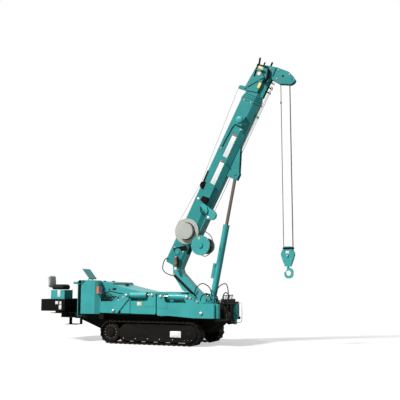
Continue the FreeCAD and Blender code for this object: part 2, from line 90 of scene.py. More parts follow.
def tube(points, radius, sides=12, steps=10, smooth=True):
    # a circle carried along a line, square to its tangent; the end rings shrink to the middle and close it
    p = smoothLine(points, steps) if smooth else np.asarray(points, float)
    g = np.gradient(p, axis=0)
    g /= np.linalg.norm(g, axis=1, keepdims=True) + 1e-12
    ref = np.eye(3)[np.argmin(np.abs(g).max(0))]
    n = ref - (g @ ref)[:, None] * g
    n /= np.linalg.norm(n, axis=1, keepdims=True) + 1e-12
    b = np.cross(g, n)
    r = np.broadcast_to(np.asarray(radius, float), (len(p),)).copy()
    p = np.vstack([p[0], p, p[-1]])
    n, b = np.vstack([n[0], n, n[-1]]), np.vstack([b[0], b, b[-1]])
    r = np.concatenate([[0], r, [0]])
    a = np.linspace(0, 2 * np.pi, sides, endpoint=False)
    ring = np.cos(a)[None, :, None] * n[:, None] + np.sin(a)[None, :, None] * b[:, None]
    v = p[:, None] + r[:, None, None] * ring
    return v.reshape(-1, 3), gridQuads(len(p), sides, True)


def turnedShape(profile, origin, axis=(0, 0, 1), sides=24):
    # a profile of radius and height turned about an axis through the origin, with its ends on the axis
    q = np.asarray(profile, float)
    w = np.asarray(axis, float) / np.linalg.norm(axis)
    ref = np.eye(3)[np.argmin(np.abs(w))]
    u = np.cross(ref, w)
    u /= np.linalg.norm(u)
    s = np.cross(w, u)
    a = np.linspace(0, 2 * np.pi, sides, endpoint=False)
    ring = np.cos(a)[:, None] * u + np.sin(a)[:, None] * s
    v = np.asarray(origin, float) + q[:, 0][:, None, None] * ring[None] + q[:, 1][:, None, None] * w
    return v.reshape(-1, 3), gridQuads(len(q), sides, True)


def softBlock(middle, half, power=8.0, rows=14, cols=28, turn=0.0):
    # directions of a sphere stretched until |x|^n + |y|^n + |z|^n is one, then scaled; turned about Y
    a = np.linspace(-np.pi / 2, np.pi / 2, rows)[:, None]
    c = np.linspace(-np.pi, np.pi, cols, endpoint=False)[None, :] + np.pi / cols
    d = np.stack([np.cos(a) * np.cos(c), np.cos(a) * np.sin(c), np.sin(a) + 0 * c], -1)
    d = d / (np.abs(d) ** power).sum(-1, keepdims=True) ** (1 / power)
    v = d.reshape(-1, 3) * np.asarray(half, float)
    co, si = math.cos(turn), math.sin(turn)
    v = np.stack([v[:, 0] * co + v[:, 2] * si, v[:, 1], -v[:, 0] * si + v[:, 2] * co], 1)
    return v + np.asarray(middle, float), gridQuads(rows, cols, True)


def facePlate(middle, size, thick, corner, turn=0.0, side=-1, cols=40):
    # a rounded rectangle in X and Z whose rim steps in over its thickness towards -Y or +Y, closed both sides
    a = np.linspace(0, 2 * np.pi, cols, endpoint=False) + np.pi / cols
    hx, hz = size[0] / 2, size[1] / 2
    cx, sz = np.cos(a), np.sin(a)
    x = np.sign(cx) * (hx - corner) + corner * cx
    z = np.sign(sz) * (hz - corner) + corner * sz
    ease = min(corner, thick) * 0.5
    rings = [(0.0, 0.0), (1.0, 0.0), (1.0, thick - ease * 0.4), (1 - ease / max(hx, hz), thick), (0.0, thick)]
    v = np.concatenate([np.stack([x * k, np.full_like(x, side * y), z * k], 1) for k, y in rings])
    co, si = math.cos(turn), math.sin(turn)
    v = np.stack([v[:, 0] * co - v[:, 2] * si, v[:, 1], v[:, 0] * si + v[:, 2] * co], 1)
    return v + np.asarray(middle, float), gridQuads(len(rings), cols, True)


def disc(origin, axis, radius, thick, sides=24, start=0):
    # a plain round plate: a rectangle of radius and thickness turned about an axis, from start to thick along it
    return turnedShape([(0, start), (radius, start), (radius, thick), (0, thick)], origin, axis, sides)


def hoop(origin, axis, inner, outer, thick, sides, start=0):
    # a flat ring: a rectangle from inner to outer radius turned about an axis, from start to thick along it
    profile = [(inner, start), (outer, start), (outer, thick), (inner, thick), (inner, start)]
    return turnedShape(profile, origin, axis, sides)


def piece(name, body, key, shapes, smooth=True, swap=()):
    # gathers surfaces in millimetres into one mesh, welds its seams and poles, and turns its faces outwards
    base = 0
    points, quads = [], []
    for v, q in shapes:
        points.append(v)
        quads.append(q + base)
        base += len(v)
    mesh = bpy.data.meshes.new(name)
    mesh.from_pydata(at(np.concatenate(points)).tolist(), [], np.concatenate(quads).tolist())
    bm = bmesh.new()
    bm.from_mesh(mesh)
    bmesh.ops.remove_doubles(bm, verts=bm.verts, dist=mending["weld"])
    bmesh.ops.dissolve_degenerate(bm, edges=bm.edges, dist=mending["shortest"])
    bmesh.ops.recalc_face_normals(bm, faces=bm.faces)
    bm.to_mesh(mesh)
    bm.free()
    mesh.polygons.foreach_set("use_smooth", np.full(len(mesh.polygons), smooth))
    obj = bpy.data.objects.new(name, mesh)
    bpy.context.scene.collection.objects.link(obj)
    mesh.materials.append(look[key])
    if smooth:
        mesh.set_sharp_from_angle(angle=math.radians(mending["sharp"]))
    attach(obj, body)
    if swap:
        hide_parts(*swap)
    return obj


def boomPiece(name, body, key, shapes):
    # a piece whose surfaces are in the boom's measures
    return piece(name, body, key, [(onBoom(v), q) for v, q in shapes])


def bend(obj, run):
    # the piece is taken off its body and its place is baked into its points
    obj.parent = None
    ends = at([run[0], run[-1]])
    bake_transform(obj)


# SHADER GROUPS
def newGroup(name, inputs):
    # an empty group with these inputs, which gives a colour, a roughness and a height
    group = bpy.data.node_groups.new(name, "ShaderNodeTree")
    for title, kind, value in inputs:
        socket = group.interface.new_socket(title, in_out="INPUT", socket_type="NodeSocket" + kind)
        socket.default_value = value
    for title, kind in (("Color", "Color"), ("Roughness", "Float"), ("Height", "Float")):
        group.interface.new_socket(title, in_out="OUTPUT", socket_type="NodeSocket" + kind)
    return group, group.nodes.new("NodeGroupInput").outputs


def closeGroup(group, colour, rough, height):
    # the three results go to the group's outputs
    o = group.nodes.new("NodeGroupOutput")
    for key, value in (("Color", colour), ("Roughness", rough), ("Height", height)):
        group.links.new(value, o.inputs[key])
    return group


def wire(tree, kind, links=None, **settings):
    # one node with its settings, and its inputs linked or given plain values
    node = tree.nodes.new("ShaderNode" + kind)
    for key, value in settings.items():
        setattr(node, key, value)
    for key, value in (links or {}).items():
        if isinstance(value, bpy.types.NodeSocket):
            tree.links.new(value, node.inputs[key])
        else:
            node.inputs[key].default_value = value
    return node


def calc(tree, operation, *values):
    # a Math node on one to three values
    return wire(tree, "Math", dict(enumerate(values)), operation=operation).outputs[0]


def spread(tree, value, low, high, first=0.0, last=1.0):
    # low to high of the value becomes first to last, and stays within them
    links = {"Value": value, "From Min": low, "From Max": high, "To Min": first, "To Max": last}
    return wire(tree, "MapRange", links).outputs[0]


def noise(tree, vector, scale, detail, rough=0.5):
    # a noise from about 0.3 to 0.7, finer as its scale rises
    links = {"Vector": vector, "Scale": scale, "Detail": detail, "Roughness": rough}
    return wire(tree, "TexNoise", links).outputs[0]


def blendColours(tree, factor, first, second):
    # first where the factor is 0, second where it is 1
    return wire(tree, "Mix", {0: factor, 6: first, 7: second}, data_type="RGBA").outputs[2]


def weatheredPaintGroup():
    # paint that fades in broad patches, is scratched to its primer in streaks, and takes dust near the ground
    g, i = newGroup("weatheredPaint", [
        ("Paint", "Color", (0.05, 0.4, 0.4, 1)), ("Primer", "Color", (0.3, 0.3, 0.28, 1)),
        ("Dust", "Color", (0.22, 0.19, 0.15, 1)), ("Scratches", "Float", 0.2),
        ("Dust Height", "Float", 0.9), ("Dust Amount", "Float", 0.4), ("Gloss", "Float", 0.35)])
    c = wire(g, "TexCoord").outputs["Object"]
    broad = noise(g, c, 1.7, 4.0, 0.6)
    peel = noise(g, c, 190.0, 2.0)
    long = wire(g, "Mapping", {"Vector": c, "Scale": (3.0, 9.0, 46.0)}).outputs[0]
    streak = noise(g, long, 3.0, 6.0, 0.75)
    speck = noise(g, c, 34.0, 5.0, 0.7)
    worn = spread(g, calc(g, "MULTIPLY", streak, speck), 0.36, 0.41)
    worn = calc(g, "MULTIPLY", worn, i["Scratches"])
    tone = spread(g, broad, 0.3, 0.7, 0.86, 1.1)
    tinted = wire(g, "HueSaturation", {"Color": i["Paint"], "Value": tone}).outputs[0]
    z = wire(g, "SeparateXYZ", {"Vector": c}).outputs["Z"]
    low = spread(g, z, i["Dust Height"], 0.1)
    dust = calc(g, "MULTIPLY", low, spread(g, speck, 0.38, 0.66))
    dust = calc(g, "MULTIPLY", dust, i["Dust Amount"])
    colour = blendColours(g, worn, tinted, i["Primer"])
    colour = blendColours(g, dust, colour, i["Dust"])
    rough = calc(g, "ADD", spread(g, broad, 0.3, 0.7, -0.05, 0.08), i["Gloss"])
    rough = calc(g, "MULTIPLY_ADD", dust, 0.4, rough)
    return closeGroup(g, colour, rough, calc(g, "MULTIPLY_ADD", worn, -0.6, peel))


def workedSteelGroup():
    # steel in shade from scale to bright, with soil caught in its hollows and rust in small patches
    g, i = newGroup("workedSteel", [
        ("Steel", "Color", (0.1, 0.1, 0.1, 1)), ("Rust", "Color", (0.12, 0.05, 0.02, 1)),
        ("Soil", "Color", (0.1, 0.08, 0.06, 1)), ("Rust Amount", "Float", 0.3),
        ("Soil Amount", "Float", 0.4), ("Grain", "Float", 60.0), ("Gloss", "Float", 0.45)])
    c = wire(g, "TexCoord").outputs["Object"]
    broad = noise(g, c, 5.0, 5.0, 0.65)
    fine = noise(g, c, i["Grain"], 4.0)
    pits = wire(g, "TexVoronoi", {"Vector": c, "Scale": i["Grain"]}).outputs[0]
    rust = calc(g, "MULTIPLY", spread(g, broad, 0.5, 0.68), i["Rust Amount"])
    soil = calc(g, "MULTIPLY", spread(g, fine, 0.45, 0.7), i["Soil Amount"])
    tone = spread(g, broad, 0.0, 1.0, 0.75, 1.25)
    colour = wire(g, "HueSaturation", {"Color": i["Steel"], "Value": tone}).outputs[0]
    colour = blendColours(g, rust, colour, i["Rust"])
    colour = blendColours(g, soil, colour, i["Soil"])
    rough = calc(g, "MULTIPLY_ADD", soil, 0.35, i["Gloss"])
    return closeGroup(g, colour, rough, calc(g, "ADD", fine, pits))


def rubberSkinGroup():
    # rubber or plastic skin with a fine cell grain, greyer where it is rubbed
    g, i = newGroup("rubberSkin", [
        ("Skin", "Color", (0.02, 0.02, 0.02, 1)), ("Rubbed", "Color", (0.08, 0.08, 0.08, 1)),
        ("Cell", "Float", 240.0), ("Rub", "Float", 0.4), ("Gloss", "Float", 0.5)])
    c = wire(g, "TexCoord").outputs["Object"]
    cell = wire(g, "TexVoronoi", {"Vector": c, "Scale": i["Cell"]}, feature="DISTANCE_TO_EDGE").outputs[0]
    broad = noise(g, c, 14.0, 4.0)
    rub = calc(g, "MULTIPLY", spread(g, broad, 0.45, 0.75), i["Rub"])
    colour = blendColours(g, rub, i["Skin"], i["Rubbed"])
    rough = calc(g, "MULTIPLY_ADD", broad, 0.15, i["Gloss"])
    return closeGroup(g, colour, rough, spread(g, cell, 0.0, 0.12))


def strandLayGroup():
    # the lay of a rope: slanting ridges, the sine of the Object position's dot product with a direction
    g, i = newGroup("strandLay", [
        ("Strand", "Color", (0.2, 0.19, 0.18, 1)), ("Groove", "Color", (0.02, 0.02, 0.02, 1)),
        ("Along", "Vector", (0, 0, 1)), ("Pitch", "Float", 60.0), ("Gloss", "Float", 0.4)])
    c = wire(g, "TexCoord").outputs["Object"]
    dot = wire(g, "VectorMath", {0: c, 1: i["Along"]}, operation="DOT_PRODUCT").outputs["Value"]
    ridge = calc(g, "SINE", calc(g, "MULTIPLY", dot, i["Pitch"]))
    ridge = spread(g, ridge, -1.0, 1.0)
    grease = noise(g, c, 9.0, 4.0)
    colour = blendColours(g, ridge, i["Groove"], i["Strand"])
    rough = calc(g, "MULTIPLY_ADD", grease, 0.3, i["Gloss"])
    return closeGroup(g, colour, rough, ridge)


groups = {"paint": weatheredPaintGroup(), "steel": workedSteelGroup(), "rubber": rubberSkinGroup(),
          "lay": strandLayGroup()}


def finish(name, group, values, bump=0.15, depth=0.001, **surface):
    # one material: a group feeds the colour, roughness and bump of a Principled surface
    m = bpy.data.materials.new(name)
    m.use_nodes = True
    tree = m.node_tree
    shader = tree.nodes["Principled BSDF"]
    for key, value in surface.items():
        shader.inputs[key.replace("_", " ")].default_value = value
    g = tree.nodes.new("ShaderNodeGroup")
    g.node_tree = groups[group]
    for key, value in values.items():
        g.inputs[key.replace("_", " ")].default_value = value
    tree.links.new(g.outputs["Color"], shader.inputs["Base Color"])
    tree.links.new(g.outputs["Roughness"], shader.inputs["Roughness"])
    b = wire(tree, "Bump", {"Strength": bump, "Distance": depth, "Height": g.outputs["Height"]})
    tree.links.new(b.outputs[0], shader.inputs["Normal"])
    return m


def rgb(r, g, b):
    # an opaque colour
    return (r, g, b, 1.0)


paints = {"teal": rgb(0.042, 0.36, 0.355), "black": rgb(0.007, 0.007, 0.006), "brown": rgb(0.016, 0.012, 0.009),
          "grey": rgb(0.42, 0.44, 0.395), "white": rgb(0.80, 0.80, 0.78), "soil": rgb(0.045, 0.036, 0.028)}


def painted(name, colour, scratches, dust, gloss, bump=0.06, **surface):
    # a painted finish with the scratches, dust and gloss given to it
    values = {"Paint": colour, "Scratches": scratches, "Dust_Amount": dust, "Dust": paints["soil"], "Gloss": gloss}
    return finish(name, "paint", values, bump=bump, **surface)


def lens(name, colour):
    # clear coloured plastic with a fine cell under its skin
    dim = tuple(c * 0.8 for c in colour[:3]) + (1.0,)
    return finish(name, "rubber", {"Skin": colour, "Rubbed": dim, "Cell": 90.0, "Gloss": 0.12}, bump=0.3,
                  Coat_Weight=0.6)


look = {
    "teal": painted("tealPaint", paints["teal"], 0.05, 0.25, 0.4, Specular_IOR_Level=0.3, Coat_Weight=0.08,
                    Coat_Roughness=0.12),
    # the boom's teal is the body's teal made darker: painted shade over the whole boom
    "boomShadedTeal": painted("boomShadedPaint", rgb(0.028, 0.265, 0.262), 0.05, 0.25, 0.45, Specular_IOR_Level=0.2,
                        Coat_Weight=0.04, Coat_Roughness=0.15),
    "black": painted("blackPaint", paints["black"], 0.02, 0.2, 0.6, 0.1, Specular_IOR_Level=0.06),
    "brown": painted("oilyBlack", paints["brown"], 0.04, 0.4, 0.5, 0.15, Specular_IOR_Level=0.1),
    "grey": painted("greyPaint", paints["grey"], 0.12, 0.1, 0.42, 0.08),
    "white": painted("whitePaint", paints["white"], 0.03, 0.1, 0.45),
    "yellow": painted("yellowPlate", rgb(0.80, 0.66, 0.16), 0.05, 0.1, 0.4),
    "red": painted("redPlate", rgb(0.62, 0.06, 0.04), 0.05, 0.1, 0.4),
    "track": finish("trackSteel", "steel", {"Steel": rgb(0.010, 0.008, 0.007), "Rust": rgb(0.03, 0.016, 0.010),
                    "Rust_Amount": 0.35, "Soil": paints["soil"], "Soil_Amount": 0.3, "Gloss": 0.6}, bump=0.4,
                    Metallic=0.1, Specular_IOR_Level=0.08),
    "darkSteel": finish("darkSteel", "steel", {"Steel": rgb(0.045, 0.042, 0.038), "Rust_Amount": 0.2,
                        "Soil_Amount": 0.2, "Gloss": 0.42}, bump=0.25, Metallic=0.5),
    "pin": finish("zincPin", "steel", {"Steel": rgb(0.58, 0.57, 0.53), "Rust": rgb(0.25, 0.16, 0.09),
                  "Rust_Amount": 0.2, "Soil_Amount": 0.12, "Gloss": 0.34}, bump=0.1, Metallic=0.6),
    "rod": finish("oiledRod", "steel", {"Steel": rgb(0.20, 0.17, 0.14), "Rust_Amount": 0.0, "Soil_Amount": 0.1,
                  "Grain": 220.0, "Gloss": 0.2}, bump=0.02, Metallic=0.6),
    "hose": finish("hoseRubber", "rubber", {"Skin": rgb(0.008, 0.008, 0.008), "Rubbed": rgb(0.03, 0.03, 0.03),
                   "Gloss": 0.45, "Cell": 420.0}, bump=0.2, Specular_IOR_Level=0.15),
    "seat": finish("seatVinyl", "rubber", {"Skin": rgb(0.010, 0.010, 0.011), "Rubbed": rgb(0.03, 0.03, 0.03),
                   "Cell": 300.0, "Gloss": 0.55}, bump=0.35, Specular_IOR_Level=0.12),
    "back": finish("backCover", "rubber", {"Skin": rgb(0.62, 0.62, 0.60), "Rubbed": rgb(0.5, 0.49, 0.46),
                   "Cell": 260.0, "Gloss": 0.5}, bump=0.3),
    "rope": finish("wireRope", "lay", {"Along": (0.4, 0.9, 1.0), "Pitch": 260.0, "Strand": rgb(0.20, 0.18, 0.155),
                   "Groove": rgb(0.05, 0.045, 0.04)}, bump=0.6, depth=0.003, Metallic=0.2),
    "fall": finish("fallRope", "lay", {"Along": (0.4, 0.9, 1.0), "Pitch": 260.0, "Strand": rgb(0.22, 0.18, 0.14),
                   "Groove": rgb(0.06, 0.05, 0.04)}, bump=0.6, depth=0.003, Metallic=0.1, Specular_IOR_Level=0.2),
    "orange": lens("orangeLens", rgb(0.80, 0.17, 0.05)), "blue": lens("blueLens", rgb(0.02, 0.05, 0.22)),
    "redLens": lens("redLens", rgb(0.27, 0.02, 0.015)), "greenLens": lens("greenLens", rgb(0.012, 0.10, 0.03)),
    "amberLens": lens("amberLens", rgb(0.42, 0.10, 0.02)),
}
print("stage: finishes made,", len(look))

# finish of each node, by how its name starts; the first that fits holds
coat = [("track_", "track"), ("chassis_frame", "black"), ("rear_", "black"), ("engine_block", "black"),
        ("foot_well", "black"), ("beacon_bracket", "grey"), ("beacon_orange", "orange"), ("beacon_blue", "blue"),
        ("front_frame", "brown"), ("valve_bank", "brown"), ("winch_drum", "darkSteel"), ("hoist_rope", "fall"),
        ("outrigger_ram_rod", "rod"), ("luff_rod", "rod"), ("cable_reel", "grey"), ("lamp_stack", "white"),
        ("seat_cushion", "seat"), ("seat_back", "back"), ("boom_", "boomShadedTeal"), ("", "teal")]
for nodeName, node in nodes.items():
    key = next(v for k, v in coat if nodeName.startswith(k))
    node.data.materials.clear()
    node.data.materials.append(look[key])

# SEAT: cushion and backrest, each a softened block that is swelled as cloth
# pads: name, middle, half sizes, finish, node it stands for, turn; block: power, rows, columns
# slack is in millimetres, travel, voxel and held are in metres, steps counts frames
seat = {
    "pads": (("seat_pad", (-3440, -355, 1625), (262, 226, 78), "seat", "seat_cushion", 0),
             ("back_pad", (-3800, -355, 1810), (44, 205, 205), "back", "seat_back", -4)),
    "block": (5.0, 24, 48), "pressure": 4.0, "travel": 0.02, "voxel": 0.018, "slack": 6, "steps": 20, "held": 0.02
}


def readPoints(obj):
    # the mesh's points as an array of rows
    a = np.empty(len(obj.data.vertices) * 3)
    obj.data.vertices.foreach_get("co", a)
    return a.reshape(-1, 3)


def applyAll(obj):
    # the mesh as its modifiers leave it takes the place of the mesh and of the modifiers
    deps = bpy.context.evaluated_depsgraph_get()
    mesh = bpy.data.meshes.new_from_object(obj.evaluated_get(deps))
    old = obj.data
    obj.modifiers.clear()
    obj.data = mesh
    mesh.name = obj.name
    bpy.data.meshes.remove(old)


def paddedPiece(name, middle, half, key, node, turn):
    # a soft block, remeshed evenly, blown up as cloth with capped travel and its foot held, and smoothed once
    shape = softBlock(middle, np.array(half) - seat["slack"], *seat["block"], math.radians(turn))
    obj = piece(name, "chassis", key, [shape])
    obj.parent = None
    mod = obj.modifiers.new("remesh", "REMESH")
    mod.mode = "VOXEL"
    mod.voxel_size = seat["voxel"]
    applyAll(obj)
    rest = readPoints(obj)
    cloth = obj.modifiers.new("cloth", "CLOTH")
    cloth.settings.use_pressure = True
    cloth.settings.uniform_pressure_force = seat["pressure"]
    cloth.settings.effector_weights.gravity = 0
    cloth.point_cache.frame_end = seat["steps"]
    for f in range(1, seat["steps"] + 1):
        bpy.context.scene.frame_set(f)
    applyAll(obj)
    bpy.context.scene.frame_set(1)
    moved = readPoints(obj) - rest
    far = np.linalg.norm(moved, axis=1, keepdims=True) + 1e-9
    low = np.clip((rest[:, 2:3] - rest[:, 2].min()) / seat["held"], 0, 1)
    swelled = rest + moved / far * np.minimum(far, seat["travel"]) * low
    obj.data.vertices.foreach_set("co", swelled.ravel())
    obj.data.update()
    sub = obj.modifiers.new("soft", "SUBSURF")
    sub.levels = 1
    sub.render_levels = 1
    applyAll(obj)
    obj.data.polygons.foreach_set("use_smooth", np.ones(len(obj.data.polygons), bool))
    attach(obj, "chassis")
    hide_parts(node)


for pad in seat["pads"]:
    paddedPiece(*pad)
print("stage: seat padded")

# HOSES: each row is name, body, radius and the points its middle runs through; the band is four more, side by side
hoseRuns = [
    ("hose_rear_a", "chassis", 13, [
        (-1590, -640, 1368), (-1533, -845, 1400), (-1466, -880, 1471), (-1260, -885, 1501), (-1054, -860, 1458),
        (-748, -700, 1401), (-640, -600, 1380)]),
    ("hose_rear_b", "chassis", 13, [
        (-1560, -640, 1330), (-1520, -845, 1370), (-1396, -885, 1457), (-1187, -890, 1330), (-1288, -880, 1223),
        (-1564, -850, 1206), (-1640, -800, 1190)]),
    ("hose_rear_c", "chassis", 16, [
        (-1660, -640, 1250), (-1600, -800, 1262), (-1480, -850, 1290), (-1330, -800, 1330), (-1220, -640, 1350)]),
    ("hose_column_a", "slewing_column", 14, [
        (1085, -150, 1400), (1110, -190, 1440), (1196, -215, 1633), (1386, -215, 1733), (1573, -205, 1633),
        (1640, -190, 1470), (1630, -150, 1380)]),
    ("hose_column_b", "slewing_column", 14, [
        (1330, -300, 1200), (1345, -300, 1260), (1397, -300, 1378), (1553, -300, 1449), (1677, -290, 1295),
        (1690, -270, 1200)]),
    ("hose_front_a", "chassis", 14, [
        (1835, -430, 1140), (1800, -340, 1300), (1795, -240, 1463), (1850, -205, 1590), (1945, -200, 1690),
        (2098, -200, 1718), (2158, -200, 1560), (2165, -200, 1400), (2150, -200, 1280)]),
    ("hose_front_b", "chassis", 14, [
        (2035, -300, 1280), (2045, -300, 1381), (2090, -300, 1455), (2136, -300, 1479), (2200, -290, 1430),
        (2215, -280, 1340), (2160, -270, 1230)]),
]
hoseTrim = {
    "band": ((400, -160, 1972), (600, -160, 1795), (840, -160, 1580), (1050, -160, 1390),
             (1120, -165, 1290), (1130, -170, 1204)),
    "bandStep": (13.2, 15.0), "bandRadius": 10, "bandCount": 4, "loopRadius": 14,
    "loop": [(440, -150, 1968), (330, -190, 1985), (190, -205, 2045), (95, -208, 2140), (85, -208, 2260),
             (135, -205, 2420), (205, -196, 2480), (260, -188, 2470)]
}
for k in range(hoseTrim["bandCount"]):
    dx, dz = k * hoseTrim["bandStep"][0], k * hoseTrim["bandStep"][1]
    run = [(x + dx, y, z + dz) for x, y, z in hoseTrim["band"][:-1]]
    x, y, z = hoseTrim["band"][-1]
    hoseRuns.append(("hose_band_%d" % k, "slewing_column", hoseTrim["bandRadius"], run + [(x + dx, y, z)]))
for name, body, radius, run in hoseRuns:
    profile = [(0, -22), (radius * 1.5, -22), (radius * 1.5, 18), (radius * 1.2, 24), (0, 24)]
    ends = [turnedShape(profile, run[k], np.subtract(run[k], run[j]), 6) for k, j in ((0, 1), (-1, -2))]
    piece(name, body, "hose", [tube(run, radius)])
    piece(name + "_ends", body, "pin", ends, smooth=False)
obj = piece("hose_tail_loop", "boom", "hose", [tube(hoseTrim["loop"], hoseTrim["loopRadius"])])
bend(obj, hoseTrim["loop"])
print("stage: hoses laid,", len(hoseRuns))

# OUTRIGGER TRIM: pin heads, seams, painted shadow lines along the legs' edges, bosses and two blank plates; places
# along a leg count from its swing hinge
# hinges: name, x, way the arm points, drop; pins and lug: along, z, out, radius; boss and seam sizes in X and Z
legs = {
    "hinges": (("rear", -1620.0, 1, 0.0), ("front", 2070.0, -1, -40.0)), "hingeY": 770.0,
    "pins": ((441, 947, 150, 42), (878, 1392, 150, 38)), "lug": ((1706, 1402, 124, 40),),
    "seamOut": 104, "topSeam": (1150, 1238, 700, 8), "rearSeams": ((988, 1046, 15, 372), (805, 872, 366, 10)),
    "rearEdgeShade": ((560, 905), (888, 1262)), "rearDisc": (640, 912, 36), "edgeShadeRadius": 7,
    "frontEdgeShade": ((874, 1330), (776, 1192), (650, 1046), (550, 930), (498, 842)),
    "bossOut": 130, "bosses": {"rear": ((762, 1343), (611, 1256)), "front": ((776, 1370), (562, 1275))},
    "bossProfile": [(0, 0), (30, 0), (30, 4), (27, 7), (0, 7)],
    "plates": (("white", -362, 78), ("yellow", -286, 70)), "plateAt": (-874, 1152, 100)
}


def pinHead(x, y, z, radius, side):
    # a washer and a domed head on a six-sided nut, standing out sideways
    return [turnedShape([(0, 0), (radius, 0), (radius, 5), (radius * 0.92, 7), (0, 7)], (x, y, z), (0, side, 0)),
            turnedShape([(0, 7), (radius * 0.62, 7), (radius * 0.62, 17), (radius * 0.5, 20), (0, 21)],
                        (x, y, z), (0, side, 0), 6)]


for end, hx, way, drop in legs["hinges"]:
    for side, sideName in ((-1, "right"), (1, "left")):
        label = end + "_" + sideName
        for body, key in (("bracket_", "pins"), ("arm_", "lug")):
            heads = []
            for dx, dz, dy, r in legs[key]:
                for s in (-1, 1):
                    heads += pinHead(hx + way * dx, side * legs["hingeY"] + s * dy, dz + drop, r, s)
            piece("pin_heads_" + body + label, body + label, "pin", heads)
        y = side * (legs["hingeY"] + legs["seamOut"])
        dx, dz, wide, tall = legs["topSeam"]
        trim = [facePlate((hx + way * dx, y, dz + drop), (wide, tall), 3, 4, side=side)]
        if end == "rear":
            # a black tube along the leg's diagonal edge: a painted shadow line
            line = [(hx + dx, y, dz) for dx, dz in legs["rearEdgeShade"]]
            trim += [facePlate((hx + dx, y, dz), (wide, tall), 3, 4, side=side)
                     for dx, dz, wide, tall in legs["rearSeams"]]
            trim.insert(2, tube(line, legs["edgeShadeRadius"], 8, smooth=False))
            dx, dz, r = legs["rearDisc"]
            trim.append(disc((hx + dx, y, dz), (0, side, 0), r, 3, 20))
        else:
            # a black tube along the leg's curved edge: a painted shadow line
            line = [(hx - dx, y, dz) for dx, dz in legs["frontEdgeShade"]]
            trim.append(tube(line, legs["edgeShadeRadius"], 8))
        piece("seams_and_edge_shade_arm_" + label, "arm_" + label, "black", trim)
        y = side * (legs["hingeY"] + legs["bossOut"])
        piece("bosses_bracket_" + label, "bracket_" + label, "pin",
              [turnedShape(legs["bossProfile"], (hx + way * dx, y, dz + drop), (0, side, 0))
               for dx, dz in legs["bosses"][end]])
for key, x, wide in legs["plates"]:
    y, z, tall = legs["plateAt"]
    piece("plate_arm_" + key, "arm_rear_right", key, [facePlate((x, y, z), (wide, tall), 2, 4)])
print("stage: outriggers trimmed")

# TRACK TRIM: roller caps, wheel hubs with bolts, a cover and a blank plate on the outer side of each loop
# cover and plate: x, y, z, width, height, thickness, corner
trackTrim = {
    "rollers": ((-817, 17), (-420, 17), (-30, 17), (353, 17), (761, 17), (1131, 9), (1237, 9), (1344, 9)),
    "rollerZ": 168, "capY": 903.0, "wheels": ((-1270, 14), (1270, 0)), "wheelZ": 335, "hub": 70,
    "boltRing": 190, "bolt": 10, "boltY": 866, "cover": (270, 856, 335, 2460, 484, 48, 241),
    "plate": (850, 904, 323, 336, 172, 3, 6)
}
for side, sideName in ((-1, "right"), (1, "left")):
    capY = side * trackTrim["capY"]
    dots, hubs = [], []
    for x, r in trackTrim["rollers"]:
        dots += pinHead(x, capY, trackTrim["rollerZ"], r, side)
    for wx, bolts in trackTrim["wheels"]:
        hubs += pinHead(wx, capY, trackTrim["wheelZ"], trackTrim["hub"], side)
        for k in range(bolts):
            a = 2 * math.pi * k / bolts
            dots += pinHead(wx + trackTrim["boltRing"] * math.cos(a), side * trackTrim["boltY"],
                            trackTrim["wheelZ"] + trackTrim["boltRing"] * math.sin(a), trackTrim["bolt"], side)
    piece("track_bolts_" + sideName, "chassis", "pin", dots, smooth=False)
    piece("track_hubs_" + sideName, "chassis", "track", hubs, smooth=False)
    for part, key, cols in (("cover", "black", 64), ("plate", "white", 40)):
        x, y, z, wide, tall, thick, corner = trackTrim[part]
        piece("track_%s_%s" % (part, sideName), "chassis", key,
              [facePlate((x, side * y, z), (wide, tall), thick, corner, side=side, cols=cols)])
print("stage: tracks trimmed")

# FRONT COLUMN: valve blocks with caps, upright drums and a guard, and the teal foot cylinder beyond them
# blocks: middle and half sizes; drums: middle, radius, half height; foot: x, y, radius, then radii and heights
frontTrim = {
    "blocks": ((2066, -500, 1190, 60, 44, 42), (2060, -380, 1250, 40, 30, 60),
               (2064, -250, 1240, 46, 34, 54), (2060, -120, 1206, 52, 46, 34),
               (2128, -420, 1010, 26, 70, 90), (2128, -230, 1070, 24, 60, 60),
               (2130, -330, 840, 26, 90, 60), (2128, -130, 900, 22, 50, 110)),
    "drums": ((2160, -470, 900, 46, 150), (2158, -60, 1040, 40, 120), (2152, -300, 1160, 34, 70)),
    "rim": 14, "frontCap": [(0, 0), (11, 0), (11, 8), (7, 12), (0, 12)],
    "sideCap": [(0, 0), (12, 0), (12, 10), (0, 12)], "foot": (2130, 420, 62),
    "footSteps": ((0, 560), (0.8, 560), (1, 580), (1, 700), (1.25, 706), (1.25, 770), (1, 776), (1, 930),
                  (1.25, 936), (1.25, 1010), (1, 1016), (1, 1120), (0.6, 1135), (0, 1135)),
    "rings": ((2086, 400, 990, 78), (2176, 400, 792, 84)),
    "guard": ((2200, 470, 1130), (2285, 540, 1170), (2300, 548, 900), (2285, 540, 640), (2180, 470, 610))
}
shapes = [softBlock((x, y, z), (a, b, c), 7.0, 10, 20) for x, y, z, a, b, c in frontTrim["blocks"]]
for x, y, z, r, tall in frontTrim["drums"]:
    flat = tall - frontTrim["rim"]
    profile = [(0, -tall), (r * 0.7, -tall), (r, -flat), (r, flat), (r * 0.7, tall), (0, tall)]
    shapes.append(turnedShape(profile, (x, y, z)))
piece("front_valves", "chassis", "brown", shapes)
heads = []
for x, y, z, a, b, c in frontTrim["blocks"]:
    heads.append(turnedShape(frontTrim["frontCap"], (x + a, y, z), (1, 0, 0), 12))
    heads.append(turnedShape(frontTrim["sideCap"], (x, y - b, z + c * 0.4), (0, -1, 0), 6))
piece("front_caps", "chassis", "pin", heads)
x, y, r = frontTrim["foot"]
shapes = [turnedShape([(r * k, z) for k, z in frontTrim["footSteps"]], (x, y, 0))]
